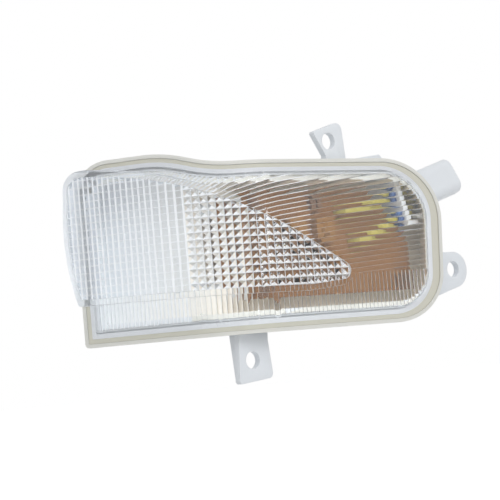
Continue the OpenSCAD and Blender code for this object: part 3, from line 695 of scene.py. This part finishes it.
def gusset(x, root, tip, lean):
    """Triangle behind an ear's left edge."""
    middle = EAR_T / 2
    points = [(0, 0), (GUSSET_DEEP + middle, 0), (middle + 0.2, tip - root), (0, tip - root)]
    made = extruded("gusset", [Vector(p) for p in points], GUSSET_T)
    along = Matrix(((0, 0, 1, GUSSET_T / 2), (1, 0, 0, 0), (0, 1, 0, 0), (0, 0, 0, 1)))
    made.data.transform(Matrix.Translation((x, EAR_Y + middle, root)) @ Matrix.Rotation(lean, 4, "Y") @ along)
    return rounded_edges(made, GUSSET_EDGE_R)


def at_mouth(back, across=0):
    """Place so far behind the connector's mouth: z out of the mouth, x across the wide way."""
    return (Matrix.Translation(MOUTH) @ Matrix.Rotation(math.pi / 2 - SHROUD_RISE, 4, "Y")
            @ Matrix.Rotation(-SHROUD_TWIST, 4, "Z") @ Matrix.Translation((across, 0, -back)))


def rounded_bar(name, inset, length, place):
    """Bar with the connector's section moved in by inset."""
    w = SHROUD_W / 2 - SHROUD_R
    t = SHROUD_T / 2 - SHROUD_R
    r = SHROUD_R - inset
    outline = (arc((w, t), r, 0, 90, 6) + arc((-w, t), r, 90, 180, 6)
               + arc((-w, -t), r, 180, 270, 6) + arc((w, -t), r, 270, 360, 6))
    made = extruded(name, outline, length)
    made.data.transform(place @ Matrix.Translation((0, 0, length / 2)))
    return made


def at_seals(across=0):
    """Place at the wire seals: z along the wires, x from the upper seal to the lower one."""
    return (Matrix.Translation(SEALS) @ Matrix.Rotation(math.pi / 2 - WIRE_RISE, 4, "Y")
            @ Matrix.Translation((across, 0, 0)))


def seal_wall():
    """Wall with the holes for the wire seals, and the side wall of the chamber behind it."""
    deep = BODY_DEEP - BODY_WALL / 2 - SEALS[1]
    wall = block("seal_wall", (-CHAMBER_HIGH, -CHAMBER_AHEAD, -SEAL_WALL_T / 2),
                 (CHAMBER_LOW, deep, SEAL_WALL_T / 2), at_seals())
    joined(wall, block("side_wall", (CHAMBER_LOW - BODY_WALL, -CHAMBER_AHEAD, 0),
                       (CHAMBER_LOW, deep, CHAMBER_L), at_seals()))
    for side in (-1, 1):
        less(wall, rod("seal_hole", SEAL_D / 2 + PLAY, 2 * SEAL_WALL_T,
                       at_seals(side * SEAL_PITCH / 2) @ Matrix.Translation((0, 0, -SEAL_WALL_T))))
    return both(wall, drawn("seal_room", rim_outline(CHANNEL_IN + BODY_WALL / 2)))


def boss(x, z):
    """Boss on the back wall, with the hole for a board screw."""
    low = BOARD_Y + BOARD_T + PLAY
    made = rod("boss", BOSS_D / 2, BODY_DEEP - BODY_WALL / 2 - low, into(x, low, z))
    return less(made, rod("boss_hole", SCREW_D / 2 + PLAY, SCREW_L - BOARD_T + 1, into(x, low - PLAY, z)))


def channel_tools():
    """What is cut out of the rim: the channel, and the room for the lens's ledge."""
    channel = less(drawn("channel", rim_outline(RIM_WALL)), drawn("channel_inside", rim_outline(CHANNEL_IN)),
                   behind_even("channel_bottom", -CHANNEL_DEPTH))
    recess = less(drawn("recess", rim_outline(CHANNEL_IN)), behind_even("recess_bottom", SEALED_AT - PLAY))
    return channel, recess


def housing():
    """White body, cream rim and all that is moulded on them, round the inside, which is painted lighter and
    warmed by the board's painted glow.
    """
    body = both(drawn("housing_white", rim_outline(CHANNEL_IN)), behind("body_skin", -1, -1, CORNER_R - 1))
    less(body, behind("body_back", -BODY_DEEP, -SIDE_DEEP, BACK_R))
    rounded_edges(body, BODY_EDGE_R, 4)
    rim = layer("rim", rim_outline(0), 0, -RIM_DEPTH)
    rim = less(rim, *channel_tools())
    in_finish(rounded_edges(rim, RIM_EDGE_R, 4, 50))
    shroud = rounded_edges(rounded_bar("shroud", 0, SHROUD_L, at_mouth(SHROUD_L)), SHROUD_EDGE_R)
    low = RIM_HIGH - CHANNEL_IN - BODY_WALL / 2
    lug = plate("lug", [(LUG_X - 2, low), (LUG_X + LUG_W + 2, low), (LUG_X + LUG_W, LUG_TOP - 1),
                        (LUG_X + LUG_W - 1, LUG_TOP), (LUG_X, LUG_TOP - LUG_FALL)], LUG_Y, LUG_T)
    rounded_edges(lug, LUG_EDGE_R)
    joined(body, rim, shroud, lug, *ears())
    joined(body, gusset(LOW_EAR[0] - 4.3, RIM_WALL - RIM_LOW, LOW_EAR[1] - 6.5, math.radians(5)))
    joined(body, gusset(HIGH_EAR[0] - 1, RIM_HIGH - CHANNEL_IN - 0.5, HIGH_EAR[1] - 3.5, math.radians(-2)))
    # The cavity gives the inside faces the third finish: the housing's white painted lighter, with the
    # board's painted glow
    cavity = less(drawn("cavity", rim_outline(CAVITY_IN)),
                  behind("cavity_bottom", BODY_WALL - BODY_DEEP, BODY_WALL - SIDE_DEEP, BACK_R - BODY_WALL))
    less(body, in_finish(cavity, THIRD), *channel_tools())
    less(body, rounded_bar("socket", SHROUD_WALL, SOCKET_DEEP + 1, at_mouth(SOCKET_DEEP)),
         rounded_bar("pocket", SHROUD_WALL, POCKET_L, at_mouth(WEB_BACK + POCKET_L)))
    for side in (-1, 1):
        less(body, rod("pin_hole", PIN_D / 2 + PLAY, 5, at_mouth(WEB_BACK + 1, -side * PIN_PITCH / 2)))
    less(body, rod("vent", VENT_D / 2, BODY_WALL + 2, into(VENT[0], BODY_DEEP - BODY_WALL - 1, VENT[1])))
    joined(body, *[boss(x, z) for x, z in SCREW_PLACES])
    return joined(body, seal_wall())


def dressed(piece, *finishes):
    """Fills a piece's first finishes and drops the rest."""
    slots = piece.data.materials
    for k, finish in enumerate(finishes):
        slots[k] = finish
    while len(slots) > len(finishes):
        slots.pop(index=len(slots) - 1)


def finished(piece, cad_node, slot, *finishes):
    """Puts a piece made in the lamp's frame into the row's frame and dresses it."""
    piece.data.transform(LAMP_TO_ROW)
    dressed(piece, *finishes)
    piece.data.shade_smooth()
    piece.data.set_sharp_from_angle(angle=SHARP_ANGLE)
    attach(piece, "root")
    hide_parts(cad_node)


def new_material(name):
    """Material with its node tree and its main shader."""
    made = bpy.data.materials.new(name)
    made.use_nodes = True
    tree = made.node_tree
    return made, tree, tree.nodes["Principled BSDF"]


def node(tree, kind, **settings):
    """New node, with values for its sockets and its own settings."""
    made = tree.nodes.new(kind)
    for key, value in settings.items():
        if key in made.inputs:
            made.inputs[key].default_value = value
        else:
            setattr(made, key, value)
    return made


def with_grain(tree, plastic, colour, mottle_colour, values):
    """Puts the moulded surface's grain on a material, with the values given."""
    grain = node(tree, "ShaderNodeGroup", node_tree=MOULDED, name="grain")
    grain.inputs["Colour"].default_value = (*colour, 1)
    grain.inputs["Mottle Colour"].default_value = (*mottle_colour, 1)
    for key, value in values.items():
        grain.inputs[key.replace("_", " ").title()].default_value = value
    tree.links.new(grain.outputs["Colour"], plastic.inputs["Base Color"])
    tree.links.new(grain.outputs["Roughness"], plastic.inputs["Roughness"])
    tree.links.new(grain.outputs["Normal"], plastic.inputs["Normal"])


def clear_plastic(name, colour, transmission, **values):
    """Clear plastic, which lets the lamps' light through to what lies behind it."""
    made, tree, plastic = new_material(name)
    with_grain(tree, plastic, colour, [c * 0.96 for c in colour], values)
    plastic.inputs["IOR"].default_value = CLEAR_IOR
    plastic.inputs["Transmission Weight"].default_value = transmission
    output = tree.nodes["Material Output"]
    path = node(tree, "ShaderNodeLightPath")
    through = node(tree, "ShaderNodeBsdfTransparent")
    through.inputs["Color"].default_value = LIGHT_THROUGH
    mixed = node(tree, "ShaderNodeMixShader")
    tree.links.new(path.outputs["Is Shadow Ray"], mixed.inputs["Fac"])
    tree.links.new(plastic.outputs["BSDF"], mixed.inputs[1])
    tree.links.new(through.outputs["BSDF"], mixed.inputs[2])
    tree.links.new(mixed.outputs["Shader"], output.inputs["Surface"])
    return made


def surface_group():
    """Grain of a moulded surface: mottled colour, uneven roughness and a fine bump."""
    group = bpy.data.node_groups.new("moulded_surface", "ShaderNodeTree")
    for title, kind, value in (
        ("Colour", "Color", (0.8, 0.8, 0.8, 1)),
        ("Mottle Colour", "Color", (0.7, 0.7, 0.7, 1)),
        ("Mottle", "Float", 0.3),
        ("Mottle Scale", "Float", 60),
        ("Roughness", "Float", 0.4),
        ("Unevenness", "Float", 0.1),
        ("Grain Scale", "Float", 1500),
        ("Grain", "Float", 0.05),
    ):
        socket = group.interface.new_socket(title, in_out="INPUT", socket_type="NodeSocket" + kind)
        socket.default_value = value
    for title, kind in (("Colour", "Color"), ("Roughness", "Float"), ("Normal", "Vector")):
        group.interface.new_socket(title, in_out="OUTPUT", socket_type="NodeSocket" + kind)
    given = group.nodes.new("NodeGroupInput")
    result = group.nodes.new("NodeGroupOutput")
    place = node(group, "ShaderNodeTexCoord")
    patches = node(group, "ShaderNodeTexNoise", Detail=4.0, Roughness=0.6)
    grain = node(group, "ShaderNodeTexNoise", Detail=3.0)
    share = node(group, "ShaderNodeMath", operation="MULTIPLY")
    blend = node(group, "ShaderNodeMix", data_type="RGBA")
    uneven = node(group, "ShaderNodeMath", operation="MULTIPLY_ADD")
    centred = node(group, "ShaderNodeMath", operation="SUBTRACT")
    centred.inputs[1].default_value = 0.5
    bump = node(group, "ShaderNodeBump", Distance=0.0002)
    link = group.links.new
    link(place.outputs["Object"], patches.inputs["Vector"])
    link(place.outputs["Object"], grain.inputs["Vector"])
    link(given.outputs["Mottle Scale"], patches.inputs["Scale"])
    link(given.outputs["Grain Scale"], grain.inputs["Scale"])
    link(patches.outputs["Fac"], share.inputs[0])
    link(given.outputs["Mottle"], share.inputs[1])
    link(share.outputs[0], blend.inputs["Factor"])
    link(given.outputs["Colour"], blend.inputs["A"])
    link(given.outputs["Mottle Colour"], blend.inputs["B"])
    link(patches.outputs["Fac"], centred.inputs[0])
    link(centred.outputs[0], uneven.inputs[0])
    link(given.outputs["Unevenness"], uneven.inputs[1])
    link(given.outputs["Roughness"], uneven.inputs[2])
    link(grain.outputs["Fac"], bump.inputs["Height"])
    link(given.outputs["Grain"], bump.inputs["Strength"])
    link(blend.outputs["Result"], result.inputs["Colour"])
    link(uneven.outputs[0], result.inputs["Roughness"])
    link(bump.outputs["Normal"], result.inputs["Normal"])
    return group


MOULDED = surface_group()

# Clear plastic's index and the tint of the light through it, and the painted glow that light bounced off the
# board throws on the white beside it
CLEAR_IOR = 1.56
LIGHT_THROUGH = (0.97, 0.98, 0.98, 1)
PAINTED_BOARD_GLOW = (0.93, 0.84, 0.7, 1)
BOARD_GLOW_FROM_X = -0.022
BOARD_GLOW_TO_X = 0.01
SOFT_DEPTH = 0.003


def moulded(name, colour, mottle_colour=None, metallic=0.0, subsurface=0.0, specular=0.5, **values):
    """Material with the moulded surface's grain, in its own colours."""
    made, tree, plastic = new_material(name)
    with_grain(tree, plastic, colour, mottle_colour or [c * 0.8 for c in colour], values)
    plastic.inputs["Metallic"].default_value = metallic
    plastic.inputs["Specular IOR Level"].default_value = specular
    plastic.inputs["Subsurface Weight"].default_value = subsurface
    plastic.inputs["Subsurface Radius"].default_value = (SOFT_DEPTH, SOFT_DEPTH, SOFT_DEPTH)
    plastic.inputs["Subsurface Scale"].default_value = 1
    return made


def with_painted_board_glow(made):
    """Paints the board's bounced light: turns a white warm beside the brown board, as the light it throws on
    the walls round it would.
    """
    tree = made.node_tree
    place = node(tree, "ShaderNodeTexCoord")
    along = node(tree, "ShaderNodeSeparateXYZ")
    near = node(tree, "ShaderNodeMapRange")
    near.inputs["From Min"].default_value = BOARD_GLOW_FROM_X
    near.inputs["From Max"].default_value = BOARD_GLOW_TO_X
    blend = node(tree, "ShaderNodeMix", data_type="RGBA")
    grain = tree.nodes["grain"]
    blend.inputs["A"].default_value = grain.inputs["Colour"].default_value
    blend.inputs["B"].default_value = PAINTED_BOARD_GLOW
    tree.links.new(place.outputs["Object"], along.inputs["Vector"])
    tree.links.new(along.outputs["X"], near.inputs["Value"])
    tree.links.new(near.outputs["Result"], blend.inputs["Factor"])
    tree.links.new(blend.outputs["Result"], grain.inputs["Colour"])
    return made


HOUSING_WHITE = moulded("housing_white", (0.8, 0.83, 0.87), (0.85, 0.87, 0.88), subsurface=0.3,
                        roughness=0.35, mottle=0.4)
HOUSING_RIM = moulded("housing_rim_cream", (0.78, 0.77, 0.71), (0.83, 0.82, 0.77), subsurface=0.3,
                      roughness=0.35, mottle=0.4)
# Painted light: the inside is a lighter copy of the housing's white, and it warms with a painted glow beside
# the board
HOUSING_INSIDE_LIT = with_painted_board_glow(moulded("housing_inside_painted_light", (0.9, 0.93, 0.96), (0.9, 0.87, 0.8),
                                         roughness=0.5, mottle=0.2))
CLEAR = clear_plastic("clear_polycarbonate", (0.985, 0.995, 1), 1, roughness=0.03, unevenness=0.03,
                      mottle=0.1, grain_scale=250, grain=0.01)
# Painted shade: a grey copy of the clear plastic, on the prisms' upper facets and, towards the tip, on their
# right facets
PAINTED_SHADE = clear_plastic("painted_shade_polycarbonate", (0.5, 0.49, 0.5), 1, roughness=0.06, unevenness=0.05,
                       grain_scale=400, grain=0.02)
# Painted shade: a blue-grey copy of the clear plastic, on the pillows' facets
PAINTED_BLUE_SHADE = clear_plastic("painted_blue_shade_polycarbonate", (0.75, 0.8, 0.87), 1, roughness=0.06, unevenness=0.06,
                     grain_scale=400, grain=0.03)
# Frosted finish that serves as painted highlight: white lines on the optics, white rounded edges, and walls
# made bright where little light comes through
FROSTED_HIGHLIGHT = clear_plastic("frosted_highlight_polycarbonate", (0.94, 0.96, 0.99), 0.3, roughness=0.35, unevenness=0.1,
                        grain_scale=2500, grain=0.15)
SEALANT = moulded("sealant_beige", (0.68, 0.66, 0.57), (0.6, 0.58, 0.48), roughness=0.35,
                  grain_scale=400, grain=0.4)
BOARD_BROWN = moulded("board_brown", (0.25, 0.105, 0.016), (0.19, 0.072, 0.01), roughness=0.6,
                      mottle=0.6, specular=0.15)
SCREW_BRONZED = moulded("screw_bronzed", (0.2, 0.1, 0.045), (0.15, 0.07, 0.03), metallic=0.6,
                        roughness=0.5, unevenness=0.3)
RESIN = moulded("light_source_resin", (0.28, 0.13, 0.022), (0.24, 0.1, 0.016), roughness=0.6,
                specular=0.15)
COMPONENT = moulded("component_black", (0.02, 0.02, 0.02), roughness=0.5)
SOLDER = moulded("solder_bright", (0.7, 0.7, 0.72), metallic=1.0, roughness=0.25, grain_scale=800,
                 grain=0.3)
WIRE = moulded("wire_yellow_green", (0.47, 0.4, 0.06), (0.4, 0.34, 0.05), roughness=0.4)
WIRE_SEAL = moulded("wire_seal_blue", (0.03, 0.12, 0.35), roughness=0.45)
PIN_TIN = moulded("pin_tin", (0.7, 0.7, 0.7), metallic=1.0, roughness=0.25, unevenness=0.2)
MEMBRANE = moulded("vent_membrane", (0.05, 0.05, 0.055), roughness=0.8, grain_scale=3000, grain=0.5)

CAD_FINISHES = {
    "circuit_board": BOARD_BROWN,
    "board_screws": SCREW_BRONZED,
    "resistor_1": COMPONENT,
    "resistor_2": COMPONENT,
    "diode_1": COMPONENT,
    "solder_joints": SOLDER,
    "lead_wire_upper": WIRE,
    "lead_wire_lower": WIRE,
    "wire_seal_upper": WIRE_SEAL,
    "wire_seal_lower": WIRE_SEAL,
    "terminal_pin_upper": PIN_TIN,
    "terminal_pin_lower": PIN_TIN,
    "vent_patch": MEMBRANE,
}
CAD_FINISHES.update({f"led_{k}": RESIN for k in range(1, 7)})


def dress_cad_nodes():
    """Gives the solids that are shown as they are their materials."""
    for name, material in CAD_FINISHES.items():
        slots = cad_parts[name].data.materials
        slots.clear()
        slots.append(material)


dress_cad_nodes()
finished(lens(), "front_lens", "lens", CLEAR, FROSTED_HIGHLIGHT, PAINTED_SHADE, PAINTED_BLUE_SHADE)
finished(housing(), "rear_housing", "housing", HOUSING_WHITE, HOUSING_RIM, HOUSING_INSIDE_LIT)
finished(bead(), "seal_bead", "sealant", SEALANT)

# Camera at the photo's angle, rolled as the lamp lies in the picture
TARGET = Vector((-4, -8, 34.3)) * MM
AZIMUTH = math.radians(-40)
ELEVATION = math.radians(-3)
ROLL = math.radians(5)
DISTANCE = 0.65
PIXELS_PER_MM = 3.2
PICTURE_SIDE = 500
SENSOR = 36

# Light: the world's own, the lamps' watts and what lifts the floor to white; then the floor's place and size
WORLD_LIGHT = 0.54
KEY_POWER = 2.2
FILL_POWER = 1.9
SIDE_POWER = 0.35
FLOOR_LIFT = 0.7
FLOOR_Z = -0.06
FLOOR_HALF = 3


def place_camera():
    data = bpy.data.cameras.new("camera")
    data.sensor_width = SENSOR
    data.lens = PIXELS_PER_MM * DISTANCE / MM * SENSOR / PICTURE_SIDE
    data.clip_start = 0.01
    camera = bpy.data.objects.new("camera", data)
    bpy.context.scene.collection.objects.link(camera)
    back = Vector((math.sin(AZIMUTH) * math.cos(ELEVATION), -math.cos(AZIMUTH) * math.cos(ELEVATION),
                   math.sin(ELEVATION)))
    right = Vector((math.cos(AZIMUTH), math.sin(AZIMUTH), 0))
    up = back.cross(right)
    turned_right = right * math.cos(ROLL) - up * math.sin(ROLL)
    turned_up = right * math.sin(ROLL) + up * math.cos(ROLL)
    camera.matrix_world = Matrix.Translation(TARGET + back * DISTANCE) @ Matrix(
        (turned_right, turned_up, back)).transposed().to_4x4()
    bpy.context.scene.camera = camera


def seen_directly(tree):
    """Output that is 1 for rays from the camera, from gloss or through clear plastic."""
    path = node(tree, "ShaderNodeLightPath")
    seen = path.outputs["Is Camera Ray"]
    for kind in ("Is Glossy Ray", "Is Transmission Ray"):
        either = node(tree, "ShaderNodeMath", operation="MAXIMUM")
        tree.links.new(seen, either.inputs[0])
        tree.links.new(path.outputs[kind], either.inputs[1])
        seen = either.outputs[0]
    return seen


def light_world():
    """World that lights the lamp plainly and is white where it is seen."""
    world = bpy.data.worlds.new("studio")
    bpy.context.scene.world = world
    world.use_nodes = True
    tree = world.node_tree
    lit = tree.nodes["Background"]
    lit.inputs["Color"].default_value = (0.96, 0.98, 1, 1)
    lit.inputs["Strength"].default_value = WORLD_LIGHT
    white = node(tree, "ShaderNodeBackground", Strength=1.0)
    white.inputs["Color"].default_value = (1, 1, 1, 1)
    mixed = node(tree, "ShaderNodeMixShader")
    tree.links.new(seen_directly(tree), mixed.inputs["Fac"])
    tree.links.new(lit.outputs[0], mixed.inputs[1])
    tree.links.new(white.outputs[0], mixed.inputs[2])
    tree.links.new(mixed.outputs[0], tree.nodes["World Output"].inputs["Surface"])


def soft_lamp(name, place, size, power):
    """Round area lamp aimed at the lamp's middle."""
    data = bpy.data.lights.new(name, "AREA")
    data.shape = "DISK"
    data.size = size
    data.energy = power
    lamp = bpy.data.objects.new(name, data)
    bpy.context.scene.collection.objects.link(lamp)
    aim = (TARGET - Vector(place)).to_track_quat("-Z", "Y")
    lamp.matrix_world = Matrix.Translation(place) @ aim.to_matrix().to_4x4()


def floor():
    """Pale floor that keeps shadows and is lifted to white where it is seen."""
    bm = bmesh.new()
    bmesh.ops.create_grid(bm, x_segments=1, y_segments=1, size=FLOOR_HALF)
    bmesh.ops.translate(bm, verts=bm.verts, vec=(0, 0, FLOOR_Z))
    made = as_object("floor", bm)
    material, tree, plain = new_material("floor_white")
    plain.inputs["Base Color"].default_value = (0.75, 0.75, 0.75, 1)
    plain.inputs["Roughness"].default_value = 0.9
    plain.inputs["Emission Color"].default_value = (1, 1, 1, 1)
    lifted = node(tree, "ShaderNodeMath", operation="MULTIPLY")
    lifted.inputs[1].default_value = FLOOR_LIFT
    tree.links.new(seen_directly(tree), lifted.inputs[0])
    tree.links.new(lifted.outputs[0], plain.inputs["Emission Strength"])
    dressed(made, material)


place_camera()
light_world()
soft_lamp("key_lamp", (-0.5, -0.7, 0.7), 0.6, KEY_POWER)
soft_lamp("fill_lamp", (0.1, -0.85, 0.45), 0.5, FILL_POWER)
soft_lamp("side_lamp", (-0.9, 0.05, 0.25), 0.5, SIDE_POWER)
floor()

scene = bpy.context.scene
scene.view_settings.view_transform = "Standard"
